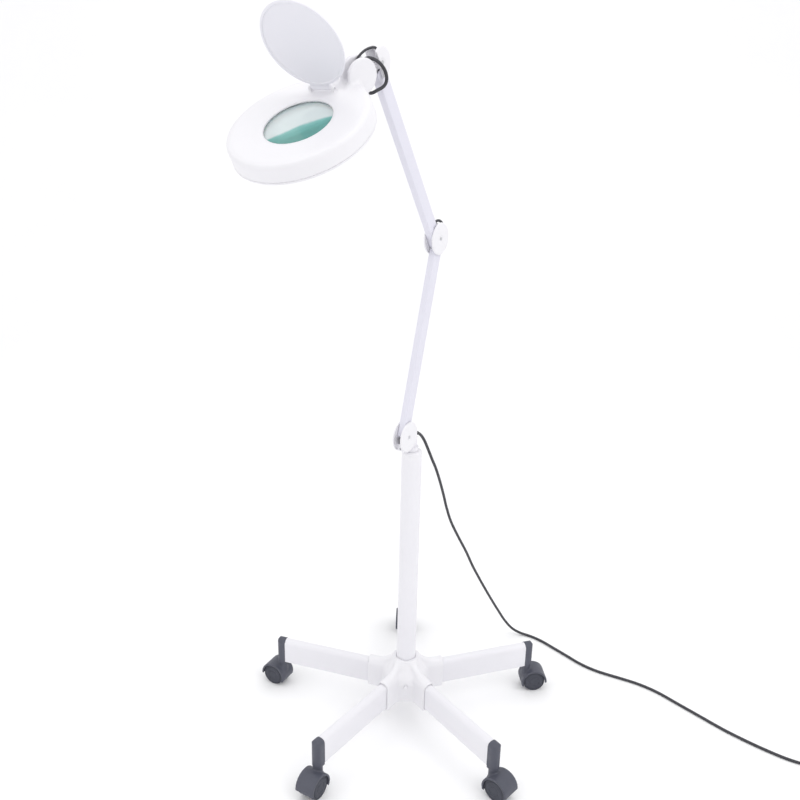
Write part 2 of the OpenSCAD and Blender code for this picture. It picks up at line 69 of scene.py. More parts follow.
# ------------------------------------------------------------------ layout (mm), the same numbers as the CAD
R_ARM = rz(rad(-31.35))
D0 = np.array([0, -28.0, 662.0])
D1 = D0 + 378 * np.array([0, math.sin(rad(14.75)), math.cos(rad(14.75))])
D2 = D1 + 371 * np.array([0, -math.sin(rad(34.5)), math.cos(rad(34.5))])
HC = np.array([-52.2, -280.0, 1250.7])
R_HEAD = R_ARM @ rx(rad(31.75))
R_LOW = R_ARM @ rx(rad(-14.75))
R_UP = R_ARM @ rx(rad(34.5))
def arms(p): return (R_ARM @ np.asarray(p, float).T).T
def head(p): return (R_HEAD @ np.asarray(p, float).T).T + arms(HC)
def lower(p): return (R_LOW @ np.asarray(p, float).T).T + arms(D0)
def upper(p): return (R_UP @ np.asarray(p, float).T).T + arms(D1)
NECK = rad(70)
R_NECK = R_HEAD @ rz(NECK)
def neck(p): return (R_NECK @ np.asarray(p, float).T).T + head([0, 0, -4.0])
LEG_AZ = [90, 162, 234, 306, 18]
YAW = [88, 152, 238, 318, 5]

# ------------------------------------------------------------------ meshes
def obj_from(name, V, F, mat=None, smooth=True, angle=None, col=None):
    me = bpy.data.meshes.new(name)
    me.from_pydata([tuple(v) for v in (np.asarray(V, float) * MM)], [], [tuple(int(i) for i in f) for f in F])
    me.validate()
    o = bpy.data.objects.new(name, me)
    SC.collection.objects.link(o)
    if smooth:
        me.shade_smooth()
        if angle:
            me.set_sharp_from_angle(angle=rad(angle))
    if mat:
        me.materials.append(mat)
    return o

def smooth_path(P, n):
    P = [np.array(p, float) for p in P]
    out = []
    for i in range(len(P) - 1):
        a, b, c, d = P[max(i - 1, 0)], P[i], P[i + 1], P[min(i + 2, len(P) - 1)]
        for k in range(n):
            t = k / n
            out.append(0.5 * (2 * b + (c - a) * t + (2 * a - 5 * b + 4 * c - d) * t * t + (3 * b - 3 * c + d - a) * t ** 3))
    out.append(P[-1])
    return np.array(out)

def tube(P, r, n=16, cap=True):
    """A round tube along the points P, with frames carried along the path; r is one radius or one per point."""
    P = np.asarray(P, float)
    T = np.gradient(P, axis=0)
    T /= np.linalg.norm(T, axis=1)[:, None]
    r = np.full(len(P), r) if np.isscalar(r) else np.asarray(r, float)
    u = np.cross(T[0], [0, 0, 1] if abs(T[0][2]) < 0.9 else [0, 1, 0])
    V = []
    ang = 2 * math.pi * np.arange(n) / n
    for i in range(len(P)):
        u = u - T[i] * (u @ T[i])
        u /= np.linalg.norm(u)
        w = np.cross(T[i], u)
        V.append(P[i] + r[i] * (np.cos(ang)[:, None] * u + np.sin(ang)[:, None] * w))
    V = np.concatenate(V)
    F = [(i * n + k, i * n + (k + 1) % n, (i + 1) * n + (k + 1) % n, (i + 1) * n + k) for i in range(len(P) - 1) for k in range(n)]
    if cap:
        F.append(tuple(range(n - 1, -1, -1)))
        F.append(tuple((len(P) - 1) * n + k for k in range(n)))
    return V, F

def lathe(prof, seg=96, closed=True):
    """Turns the (r, z) outline about Z. A closed outline gives a closed ring or, where it touches the axis, a closed solid."""
    prof = [(max(float(r), 0.0), float(z)) for r, z in prof]
    V, idx = [], []
    for r, z in prof:
        if r < 1e-6:
            idx.append([len(V)] * seg); V.append((0, 0, z))
        else:
            idx.append(list(range(len(V), len(V) + seg)))
            V += [(r * math.cos(2 * math.pi * k / seg), r * math.sin(2 * math.pi * k / seg), z) for k in range(seg)]
    F = []
    m = len(prof)
    for i in range(m if closed else m - 1):
        a, b = idx[i], idx[(i + 1) % m]
        if a[0] == a[1] and b[0] == b[1]:
            continue
        for k in range(seg):
            q = [a[k], a[(k + 1) % seg], b[(k + 1) % seg], b[k]]
            q = [v for j, v in enumerate(q) if v != q[j - 1]]
            F.append(tuple(q))
    return np.array(V, float), F

def rounded(poly, r, n=4):
    """Rounds the corners of a closed 2-D outline by radius r, or by the third number of a point."""
    P = [tuple(p) for p in poly]
    out = []
    m = len(P)
    for i in range(m):
        a, b, c = np.array(P[i - 1][:2], float), np.array(P[i][:2], float), np.array(P[(i + 1) % m][:2], float)
        rr = P[i][2] if len(P[i]) > 2 else r
        u, v = a - b, c - b
        lu, lv = np.linalg.norm(u), np.linalg.norm(v)
        if rr <= 0 or lu < 1e-6 or lv < 1e-6:
            out.append(b); continue
        u, v = u / lu, v / lv
        ca = float(np.clip(u @ v, -1, 1))
        half = math.acos(ca) / 2
        if half > math.pi / 2 - 0.05:
            out.append(b); continue
        d = min(rr / math.tan(half), 0.45 * lu, 0.45 * lv)
        p0, p1 = b + u * d, b + v * d
        for k in range(n + 1):
            t = k / n
            out.append((1 - t) ** 2 * p0 + 2 * t * (1 - t) * b + t * t * p1)
    return [tuple(p) for p in out]

# ------------------------------------------------------------------ distance-field shapes, for parts with blended edges
def sd_poly(x, y, poly):
    P = np.asarray(poly, float)
    d = np.full(x.shape, 1e18)
    s = np.ones(x.shape)
    for i in range(len(P)):
        a, b = P[i], P[i - 1]
        ex, ey = b[0] - a[0], b[1] - a[1]
        wx, wy = x - a[0], y - a[1]
        t = np.clip((wx * ex + wy * ey) / (ex * ex + ey * ey + 1e-12), 0, 1)
        dx, dy = wx - ex * t, wy - ey * t
        d = np.minimum(d, dx * dx + dy * dy)
        c1, c2, c3 = y >= a[1], y < b[1], ex * wy > ey * wx
        flip = (c1 & c2 & c3) | (~c1 & ~c2 & ~c3)
        s = np.where(flip, -s, s)
    return s * np.sqrt(d)

def smin(a, b, k):
    h = np.clip(0.5 + 0.5 * (b - a) / k, 0, 1)
    return b * (1 - h) + a * h - k * h * (1 - h)
def smax(a, b, k): return -smin(-a, -b, k)
def ext(d2, w, r=0.0):
    """Extrusion of the 2-D distance d2 between faces at distance w, with edges rounded by r."""
    a, b = d2 + r, w + r
    return np.minimum(np.maximum(a, b), 0) + np.hypot(np.maximum(a, 0), np.maximum(b, 0)) - r
def sd_box(x, y, z, c, h, r=0.0):
    qx, qy, qz = np.abs(x - c[0]) - h[0] + r, np.abs(y - c[1]) - h[1] + r, np.abs(z - c[2]) - h[2] + r
    return np.sqrt(np.maximum(qx, 0) ** 2 + np.maximum(qy, 0) ** 2 + np.maximum(qz, 0) ** 2) + np.minimum(np.maximum(qx, np.maximum(qy, qz)), 0) - r

def nets(fn, lo, hi, step):
    """Surface nets: a quad mesh of fn = 0 inside the box, pulled onto the surface and open nowhere."""
    lo, hi = np.array(lo, float), np.array(hi, float)
    n = np.ceil((hi - lo) / step).astype(int) + 1
    ax = [lo[i] + step * np.arange(n[i]) for i in range(3)]
    X, Y, Z = np.meshgrid(*ax, indexing="ij")
    D = fn(X, Y, Z).astype(np.float32)
    D[0], D[-1] = np.maximum(D[0], 0.01), np.maximum(D[-1], 0.01)
    D[:, 0], D[:, -1] = np.maximum(D[:, 0], 0.01), np.maximum(D[:, -1], 0.01)
    D[:, :, 0], D[:, :, -1] = np.maximum(D[:, :, 0], 0.01), np.maximum(D[:, :, -1], 0.01)
    I = D < 0
    c = np.zeros(tuple(n - 1), np.int8)
    for dx in (0, 1):
        for dy in (0, 1):
            for dz in (0, 1):
                c += I[dx:n[0] - 1 + dx, dy:n[1] - 1 + dy, dz:n[2] - 1 + dz]
    act = (c > 0) & (c < 8)
    ids = -np.ones(act.shape, np.int64)
    cells = np.argwhere(act)
    ids[act] = np.arange(len(cells))
    acc = np.zeros((len(cells), 3)); cnt = np.zeros(len(cells))
    C = [[0, 0, 0], [1, 0, 0], [0, 1, 0], [0, 0, 1]]
    for a in range(3):
        o1, o2 = [i for i in range(3) if i != a]
        for s1 in (0, 1):
            for s2 in (0, 1):
                p = cells.copy(); p[:, o1] += s1; p[:, o2] += s2
                q = p.copy(); q[:, a] += 1
                d0, d1 = D[tuple(p.T)], D[tuple(q.T)]
                hit = (d0 < 0) != (d1 < 0)
                t = np.where(hit, d0 / np.where(hit, d0 - d1, 1), 0)
                w = p.astype(float); w[:, a] += t
                acc[hit] += w[hit]; cnt[hit] += 1
    V = lo + step * acc / cnt[:, None]
    F = []
    for a in range(3):
        o1, o2 = [(1, 2), (2, 0), (0, 1)][a]
        sl0 = [slice(None)] * 3; sl1 = [slice(None)] * 3
        sl0[a] = slice(0, n[a] - 1); sl1[a] = slice(1, n[a])
        cross = np.argwhere(I[tuple(sl0)] != I[tuple(sl1)])
        ok = (cross[:, o1] > 0) & (cross[:, o2] > 0) & (cross[:, o1] < n[o1] - 1) & (cross[:, o2] < n[o2] - 1)
        cross = cross[ok]
        inside = I[tuple(cross.T)]
        quad = []
        for d1, d2 in ((0, 0), (-1, 0), (-1, -1), (0, -1)):
            e = cross.copy(); e[:, o1] += d1; e[:, o2] += d2
            quad.append(ids[tuple(e.T)])
        Q = np.array(quad).T
        Q[~inside] = Q[~inside][:, ::-1]
        F.append(Q)
    F = np.concatenate(F)
    e = step * 0.05
    for _ in range(3):
        x, y, z = V.T
        d = fn(x, y, z)
        g = np.stack([fn(x + e, y, z) - fn(x - e, y, z), fn(x, y + e, z) - fn(x, y - e, z), fn(x, y, z + e) - fn(x, y, z - e)], 1) / (2 * e)
        g2 = (g * g).sum(1)
        mv = g * (d / np.maximum(g2, 0.25))[:, None]
        L = np.linalg.norm(mv, axis=1)
        mv *= np.minimum(1, 0.5 * step / np.maximum(L, 1e-9))[:, None]
        V = V - mv
    return V, F

# ------------------------------------------------------------------ supply cord: leaves the bracket, falls to the floor, runs off to a coil with its plug
HANG = [(11.3, 18.5, 651.5), (15, 24.5, 647), (20, 31, 639), (26.5, 38, 625), (34, 47, 604), (43, 57, 578), (52, 70, 552), (60, 83, 524), (67, 95, 497),
        (74, 109, 467), (81, 122, 436), (93, 140, 393), (111, 160, 347), (134, 181, 294), (152, 200, 247), (170, 218, 205), (188, 235, 165), (208, 251, 123), (228, 266, 83), (247, 277, 48), (267, 284, 21)]
FLOOR = [(288, 285, 7), (312, 277, 3.2), (337, 258, 3.2), (364, 229, 3.2), (391, 199, 3.2), (416, 171, 3.2), (444, 148, 3.2), (472, 132, 3.2), (505, 116, 3.2), (540, 97, 3.2), (575, 70, 3.2), (612, 30, 3.2), (648, -9, 3.2),
         (684, -48, 3.2), (716, -78, 3.2), (752, -108, 3.2), (790, -135, 3.2), (826, -152, 3.2), (860, -159.5, 3.2)]
CC = np.array([890.0, -195.0])
def coil():
    P = []
    for k in range(97):  # two turns: in along the floor, then out again on top
        t = 2 * k / 96
        th = rad(90) - 2 * math.pi * t
        r = 34.6 - 6.3 * t if t <= 1 else 28.3 + 7.0 * (t - 1)
        u = min(max((t - 0.98) / 0.2, 0), 1)
        u = u * u * (3 - 2 * u)
        P.append((CC[0] + r * math.cos(th), CC[1] + r * math.sin(th), 3.2 + 6.3 * u))
    for k in range(1, 6):
        th = rad(90 - 66 * k / 5)
        r = 35.3 + 0.8 * k / 5
        P.append((CC[0] + r * math.cos(th), CC[1] + r * math.sin(th), 9.5))
    R, c0 = 24.0, np.array(P[-1][:2])
    ctr = c0 + R * np.array([math.cos(rad(24)), math.sin(rad(24))])
    for k in range(1, 10):
        a = rad(204) + rad(66) * k / 9
        u = k / 9
        u = u * u * (3 - 2 * u)
        P.append((ctr[0] + R * math.cos(a), ctr[1] + R * math.sin(a), 9.5 - 2.1 * u))
    P.append((P[-1][0] + 6, P[-1][1], 7.4))
    return P
COIL = coil()
Q = np.vstack([smooth_path(HANG + FLOOR + COIL[:1], 5), np.array(COIL[1:])])
Q[:, 2] = np.maximum(Q[:, 2], 3.1)
V, F = tube(Q, 3.0, 14)
cord_o = obj_from("supply_cord_run", V, F)
PE = Q[-1] - np.array([3.0, 0, 0])
def plug_fn(x, y, z):
    body = sd_box(x, y, z, (27, 0, 0), (16, 10.6, 6.6), 3.2)
    body = smax(body, np.abs(y) - (10.6 - 0.16 * np.abs(x - 20)), 1.5)
    tail = ext(np.hypot(y, z) - (4.7 - 0.055 * np.clip(x, 0, 16)), np.abs(x - 7.5) - 7.5, 0.8)
    groove = np.abs((x - 1.5) % 3.4 - 1.7) - 0.55
    tail = np.where((x > 2) & (x < 12.5), np.maximum(tail, -np.maximum(groove, 3.35 - np.hypot(y, z))), tail)
    d = smin(body, tail, 2.0)
    for k in range(4):
        d = smax(d, -sd_box(x, np.abs(y), z, (19 + 4.2 * k, 10.2, 0), (0.8, 1.6, 4.6), 0.4), 0.4)
    return d
V, F = nets(plug_fn, (-2, -13, -9), (46, 13, 9), 0.6)
plug_o = obj_from("plug_body", V + PE, F)
V = []; F = []
for s_ in (-1, 1):
    v, f = lathe([(0, 0), (2.4, 0), (2.4, 15.6), (1.9, 17.4), (0.9, 18.2), (0, 18.4)], 24)
    v = (ry(rad(90)) @ v.T).T + PE + np.array([42.4, 6.5 * s_, 0])
    F += [tuple(np.array(q) + len(V) * len(v)) for q in f]
    V.append(v)
pins_o = obj_from("plug_pins", np.concatenate(V), F, angle=40)
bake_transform(cord_o)
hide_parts("cord_start", "supply_cord", "cord_coil")
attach(plug_o, "stand"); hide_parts("plug")
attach(pins_o, "stand")

# ------------------------------------------------------------------ materials
def mat(name, color, rough=0.4, metal=0.0, bump=None, vary=0.0, vary_scale=6.0, rough_vary=0.0, **kw):
    """A surface with its own colour variation, roughness variation and fine bump.
    bump is a list of (noise scale per metre, height in mm) layers."""
    m = bpy.data.materials.new(name)
    m.use_nodes = True
    nt = m.node_tree
    b = nt.nodes["Principled BSDF"]
    b.inputs["Base Color"].default_value = (*color, 1)
    b.inputs["Roughness"].default_value = rough
    b.inputs["Metallic"].default_value = metal
    for k, v in kw.items():
        b.inputs[k.replace("_", " ")].default_value = v
    tc = nt.nodes.new("ShaderNodeTexCoord")
    if vary > 0:
        n = nt.nodes.new("ShaderNodeTexNoise"); n.inputs["Scale"].default_value = vary_scale; n.inputs["Detail"].default_value = 4
        nt.links.new(tc.outputs["Object"], n.inputs["Vector"])
        r = nt.nodes.new("ShaderNodeValToRGB")
        r.color_ramp.elements[0].position, r.color_ramp.elements[1].position = 0.3, 0.7
        r.color_ramp.elements[0].color = (*[c * (1 - vary) for c in color], 1)
        r.color_ramp.elements[1].color = (*[min(1, c * (1 + vary * 0.5)) for c in color], 1)
        nt.links.new(n.outputs["Fac"], r.inputs["Fac"])
        nt.links.new(r.outputs["Color"], b.inputs["Base Color"])
    if rough_vary > 0:
        n = nt.nodes.new("ShaderNodeTexNoise"); n.inputs["Scale"].default_value = vary_scale * 5; n.inputs["Detail"].default_value = 6
        nt.links.new(tc.outputs["Object"], n.inputs["Vector"])
        mr = nt.nodes.new("ShaderNodeMapRange")
        mr.inputs["From Min"].default_value, mr.inputs["From Max"].default_value = 0.3, 0.7
        mr.inputs["To Min"].default_value, mr.inputs["To Max"].default_value = max(0.02, rough - rough_vary), rough + rough_vary
        nt.links.new(n.outputs["Fac"], mr.inputs["Value"])
        nt.links.new(mr.outputs["Result"], b.inputs["Roughness"])
    prev = None
    for scale, height in bump or []:
        n = nt.nodes.new("ShaderNodeTexNoise"); n.inputs["Scale"].default_value = scale; n.inputs["Detail"].default_value = 3
        nt.links.new(tc.outputs["Object"], n.inputs["Vector"])
        bp = nt.nodes.new("ShaderNodeBump")
        bp.inputs["Distance"].default_value = height * MM
        bp.inputs["Strength"].default_value = 1.0
        nt.links.new(n.outputs["Fac"], bp.inputs["Height"])
        if prev:
            nt.links.new(prev.outputs["Normal"], bp.inputs["Normal"])
        prev = bp
    if prev:
        nt.links.new(prev.outputs["Normal"], b.inputs["Normal"])
    return m

def lin(r, g, b):
    f = lambda c: (c / 255 / 12.92) if c / 255 <= 0.04045 else ((c / 255 + 0.055) / 1.055) ** 2.4
    return (f(r), f(g), f(b))

WHITE = mat("white_plastic", lin(231, 230, 234), 0.34, vary=0.015, vary_scale=9, rough_vary=0.05, bump=[(900, 0.012), (60, 0.05)], Specular_IOR_Level=0.45, Coat_Weight=0.15, Coat_Roughness=0.2)
PAINT = mat("white_powder_coat", lin(229, 228, 233), 0.42, vary=0.02, vary_scale=7, rough_vary=0.06, bump=[(1400, 0.02), (260, 0.02)], Specular_IOR_Level=0.5)
# painted shade: a darker, bluer copy of the white powder coat, put on the arm channels to stand in for the shade on the
# arms
ARM_SHADED_COAT = mat("arm_coat_painted_shade", lin(219, 218, 229), 0.38, vary=0.02, vary_scale=8, rough_vary=0.06, bump=[(1400, 0.018), (300, 0.018)], Specular_IOR_Level=0.5)
LID = mat("lid_plastic", lin(228, 227, 234), 0.36, vary=0.012, vary_scale=6, rough_vary=0.05, bump=[(800, 0.012), (40, 0.08)], Specular_IOR_Level=0.45)
GREY = mat("grey_plastic", lin(76, 78, 90), 0.5, vary=0.05, vary_scale=14, rough_vary=0.08, bump=[(1800, 0.03)], Specular_IOR_Level=0.5)
TREAD = mat("wheel_tread", lin(64, 66, 76), 0.62, vary=0.08, vary_scale=30, rough_vary=0.1, bump=[(1500, 0.05)], Specular_IOR_Level=0.4)
STEEL = mat("plated_steel", (0.62, 0.63, 0.65), 0.28, metal=1.0, vary=0.06, vary_scale=40, rough_vary=0.08, bump=[(2500, 0.006)])
DIFF = mat("diffuser", lin(240, 240, 238), 0.6, vary=0.01, vary_scale=20, bump=[(1200, 0.05)], Subsurface_Weight=0.3)
BOARD = mat("light_board", lin(235, 238, 235), 0.5, vary=0.02, vary_scale=60, bump=[(900, 0.02)])
CORD = mat("cord_sheath", lin(52, 52, 58), 0.48, vary=0.08, vary_scale=25, rough_vary=0.08, bump=[(2200, 0.02), (120, 0.06)], Specular_IOR_Level=0.5)
PLUG = mat("plug_plastic", lin(40, 40, 44), 0.45, vary=0.06, vary_scale=30, rough_vary=0.08, bump=[(1800, 0.03)])
PIN = mat("plug_pin", (0.72, 0.66, 0.5), 0.25, metal=1.0, vary=0.05, vary_scale=60, bump=[(1500, 0.01)])
GLASS = mat("lens_glass", lin(196, 232, 228), 0.03, IOR=1.52, Transmission_Weight=1.0, Specular_IOR_Level=0.5)

def paint_lens_reflection(m):
    """Painted reflection: clear over the far part of the glass, a green-teal colour painted over the near part,
    standing in for the edge reflection seen along the glass's thickness.
    """
    nt = m.node_tree; b = nt.nodes["Principled BSDF"]
    tc = nt.nodes.new("ShaderNodeTexCoord")
    d = nt.nodes.new("ShaderNodeVectorMath"); d.operation = "DOT_PRODUCT"
    nn = R_HEAD[:, 2]
    ax = np.array([-0.10, 1.0, 0.0]) - nn * (np.array([-0.10, 1.0, 0.0]) @ nn)
    ax = ax / np.linalg.norm(ax)
    d.inputs[1].default_value = tuple(ax)
    nt.links.new(tc.outputs["Object"], d.inputs[0])
    n = nt.nodes.new("ShaderNodeTexNoise"); n.inputs["Scale"].default_value = 40; n.inputs["Detail"].default_value = 2
    nt.links.new(tc.outputs["Object"], n.inputs["Vector"])
    a = nt.nodes.new("ShaderNodeMath"); a.operation = "MULTIPLY_ADD"
    a.inputs[1].default_value = 0.006
    nt.links.new(n.outputs["Fac"], a.inputs[0]); nt.links.new(d.outputs["Value"], a.inputs[2])
    mr = nt.nodes.new("ShaderNodeMapRange")
    y0 = float(head([0, 0, -8]) @ ax) * MM + 0.003
    mr.inputs["From Min"].default_value, mr.inputs["From Max"].default_value = y0 - 0.015, y0 - 0.010
    nt.links.new(a.outputs["Value"], mr.inputs["Value"])
    r = nt.nodes.new("ShaderNodeValToRGB")
    # painted reflection: the teal colour of the near part of the lens
    r.color_ramp.elements[0].color = (*lin(112, 186, 179), 1)
    r.color_ramp.elements[1].color = (*lin(226, 236, 237), 1)
    nt.links.new(mr.outputs["Result"], r.inputs["Fac"])
    nt.links.new(r.outputs["Color"], b.inputs["Base Color"])
GLASS.node_tree.nodes["Principled BSDF"].inputs["Transmission Weight"].default_value = 0.5
paint_lens_reflection(GLASS)

BY_SLOT = {"white_plastic": WHITE, "cover_plastic": LID, "white_metal": PAINT, "grey_plastic": GREY, "wheel_tread": TREAD, "steel": STEEL,
           "lens_glass": GLASS, "diffuser_plastic": DIFF, "board": BOARD, "cord_rubber": CORD, "plug_plastic": PLUG}
slot_of = {s["node"]: s["material_slot"] for s in frame["record"]["subparts"]}
for name, o in frame["nodes"].items():
    m = BY_SLOT[slot_of[name]]
    # the arm channels take the powder-coat copy with painted shade instead of the plain white paint
    if "channel" in name:
        m = ARM_SHADED_COAT
    if len(o.material_slots) == 0:
        o.data.materials.append(m)
    for s in o.material_slots:
        s.material = m

# ------------------------------------------------------------------ hub
def leg_outline(w, h, z0, grow=0.0, n=20):
    r = w / 2 + grow
    zc = z0 + h - w / 2
    return [(-r, z0 - grow), (r, z0 - grow)] + [(r * math.cos(a), zc + r * math.sin(a)) for a in np.linspace(0, math.pi, n)]

HUB_CORE = [(0, 57.5), (44, 57.5), (46, 59.5), (46.5, 80), (46, 98), (43, 108), (38, 117), (33, 125), (29.5, 133), (27.2, 140), (26.6, 144), (0, 144)]
HUB_FIN = [(0, 60), (81, 60), (81, 121.2), (66, 122), (54, 124.4), (45, 128.4), (37.5, 133.8), (31, 140.4), (27, 144), (0, 144)]
LOBE = leg_outline(27, 63.5, 57.5)
SOCK = leg_outline(21.3, 57.4, 61.8)
def hub_fn(x, y, z):
    r = np.hypot(x, y)
    d = sd_poly(r, z, HUB_CORE + [(-c[0], c[1]) for c in HUB_CORE[::-1]])
    # the five sectors are the same, so the point is folded into the nearest one
    az = np.arctan2(y, x) - rad(18)
    k = np.round(az / rad(72))
    a = az - k * rad(72)
    u, v = r * np.cos(a), r * np.sin(a)
    lobe = ext(sd_poly(v, z, LOBE), np.abs(u - 41) - 41, 1.6)
    fin = ext(sd_poly(u, z, HUB_FIN), np.abs(v) - 7.5, 5.5)
    d = smin(d, lobe, 7.0)
    d = smin(d, fin, 7.0)
    sock = np.maximum(sd_poly(v, z, SOCK), 47.5 - u)
    d = smax(d, -sock, 0.8)
    bore = np.maximum(r - 20.25, 62 - z)
    d = smax(d, -bore, 1.2)
    lead = np.hypot(x, z - 96) - 4.6
    d = smax(d, -np.maximum(lead, y + 44.6), 0.8)
    # hollow underneath, with a ring round the pole and ribs between the legs
    d = np.maximum(d, 57.5 - z)
    pan = np.maximum(np.maximum(25.5 - r, r - 41), z - 66)
    rib = 1.8 - np.abs(r * np.sin(((np.arctan2(y, x) - rad(54)) % rad(72)) - rad(36)))
    pan = np.maximum(pan, rib)
    return np.maximum(d, -pan)
V, F = nets(hub_fn, (-86, -86, 55), (86, 86, 147), 1.7)
o = obj_from("hub_moulding", V, F, WHITE)
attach(o, "stand"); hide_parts("hub")

# ------------------------------------------------------------------ legs: pressed tube with small lower corners and a wall
def tube_leg(name, az):
    out = rounded([(-10.5, 62, 2.5), (10.5, 62, 2.5), (10.5, 107.5, 0), *[(10.5 * math.cos(t), 107.5 + 10.5 * math.sin(t), 0) for t in np.linspace(0.15, math.pi - 0.15, 18)], (-10.5, 107.5, 0)], 0, 5)
    inn = [(y * 9.0 / 10.5, 62 + (z - 62 - 28) * (53 / 56) + 28) for y, z in out]
    n = len(out)
    V = []
    for R in (48.2, 280.4):
        V += [(R, y, z) for y, z in out] + [(R, y, z) for y, z in inn]
    F = []
    for k in range(n):
        j = (k + 1) % n
        F += [(k, 2 * n + k, 2 * n + j, j), (n + k, n + j, 3 * n + j, 3 * n + k), (k, j, n + j, n + k), (2 * n + k, 3 * n + k, 3 * n + j, 2 * n + j)]
    V = (rz(rad(az)) @ np.array(V).T).T
    return obj_from(name, V, F, PAINT, angle=40)
for i, az in enumerate(LEG_AZ):
    o = tube_leg("leg_tube_%d" % (i + 1), az)
    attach(o, "stand"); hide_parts("leg_%d" % (i + 1))

# ------------------------------------------------------------------ leg caps
CAP_SIDE = rounded([(263, 63.5, 0), (280.4, 63.5, 0), (280.4, 59, 1), (300.3, 59, 1.2), (300.3, 118.9, 17), (279.9, 118.9, 0.4), (279.9, 116, 0), (263, 116, 2)], 0, 7)
CAP_FRONT = leg_outline(22, 60, 58.8, 0.2)
CAP_PLUG = leg_outline(17.6, 52.6, 63.7)
def cap_fn(x, y, z):
    side = sd_poly(x, z, CAP_SIDE)
    d = ext(np.maximum(side, sd_poly(y, z, CAP_FRONT)), np.full(x.shape, -9.0), 0.0)
    d = smax(side, sd_poly(y, z, CAP_FRONT), 1.5)
    round_front = np.where(x > 289, np.hypot(x - 289, y) - 11.2, np.abs(y) - 11.2)
    d = smax(d, round_front, 1.2)
    d = np.where(x < 279.9, np.maximum(d, sd_poly(y, z, CAP_PLUG)), d)
    tongue = sd_box(x, y, z, (272, 0, 60.4), (15, 5, 1.4), 0.5)
    d = np.minimum(d, tongue)
    return np.maximum(d, -np.maximum(np.hypot(x - 289, y) - 5.3, z - 64))
V0, F0 = nets(cap_fn, (255, -13, 57), (303, 13, 121), 1.3)
caps_V, caps_F = [], []
for az in LEG_AZ:
    caps_F += [tuple(np.array(f) + len(V0) * len(caps_V)) for f in F0]
    caps_V.append((rz(rad(az)) @ V0.T).T)
o = obj_from("leg_end_caps", np.concatenate(caps_V), caps_F, GREY)
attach(o, "stand"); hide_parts("leg_caps")

# ------------------------------------------------------------------ casters
def hood_fn(x, y, z):
    dx, dz = x - 17, z - 24
    r = np.hypot(dx, dz)
    ay = np.abs(y)
    shell = ext(np.abs(r - 27.1) - 1.4, ay - 20.6, 1.0)
    # the hood ends behind the axle and in front of it
    lo_back = -(dz * math.cos(rad(-6)) - dx * math.sin(rad(-6)))
    lo_front = 13 - z
    cut = np.where(dx > 0, lo_back, lo_front)
    shell = smax(shell, cut, 1.5)
    # thin lips that fold over the wheels' outer edges
    lip = ext(np.abs(r - 26.3) - 2.2, np.abs(ay - 19.9) - 0.7, 0.6)
    lip = smax(lip, cut, 1.5)
    web = ext(r - 27, ay - 3.4, 0.8)
    web = smax(web, np.where(dx > 0, lo_back - 4, 9 - z), 2)
    hubb = ext(r - 7.5, ay - 3.5, 0.6)
    d = smin(shell, web, 2.0)
    d = np.minimum(d, lip)
    d = np.minimum(d, hubb)
    boss = ext(np.hypot(x, y) - 9.6, np.abs(z - 47.5) - 11.0, 1.2)
    inside = ext(r - 25.6, ay - 30, 0)
    boss = np.maximum(boss, np.where(ay < 3.4, -1, 1) * 0 - inside)
    d = smin(d, boss, 4.0)
    collar = ext(np.hypot(x, y) - 7.6, np.abs(z - 57) - 1.8, 0.5)
    return smin(d, collar, 1.0)
V0, F0 = nets(hood_fn, (-14, -23, 6), (48, 23, 60), 1.15)
def wheel_prof(h):
    return rounded([(3.06, 0, 0), (8, 0, 0.5), (9, 1.2, 0.5), (21.6, 1.2, 0.6), (22.4, 0, 0.5), (23.3, 0, 0.8), (24, 1.4, 0.8), (24, h - 2.4, 1.2), (22.8, h - 0.5, 0.8), (21.2, h - 0.5, 0.4), (20.6, h - 1.5, 0.4), (19.8, h - 1.5, 0.4), (19, h - 0.5, 0.5), (12, h + 0.1, 0.5), (10.6, h - 0.7, 0.4), (9.6, h - 0.7, 0.4), (8.6, h, 0.4), (0, h + 0.2, 0), (0, h - 2, 0), (3.06, h - 2, 0)], 0.4, 3)
Vw, Fw = lathe(wheel_prof(15), 72)
for i, (az, yaw) in enumerate(zip(LEG_AZ, YAW)):
    st = np.array([289 * math.cos(rad(az)), 289 * math.sin(rad(az)), 0])
    Rc = rz(rad(yaw))
    o = obj_from("caster_hood_shell_%d" % (i + 1), (Rc @ V0.T).T + st, F0, GREY)
    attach(o, "caster_%d" % (i + 1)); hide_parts("caster_hood_%d" % (i + 1))
    VV, FF = [], []
    for s in (-1, 1):
        Rw = rx(rad(-90 * s))
        W = (Rw @ Vw.T).T + np.array([17, s * 4, 24])
        FF += [tuple(np.array(f) + len(Vw) * len(VV)) for f in Fw]
        VV.append((Rc @ W.T).T + st)
    o = obj_from("caster_twin_wheels_%d" % (i + 1), np.concatenate(VV), FF, TREAD, angle=50)
    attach(o, "wheels_%d" % (i + 1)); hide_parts("caster_wheels_%d" % (i + 1))

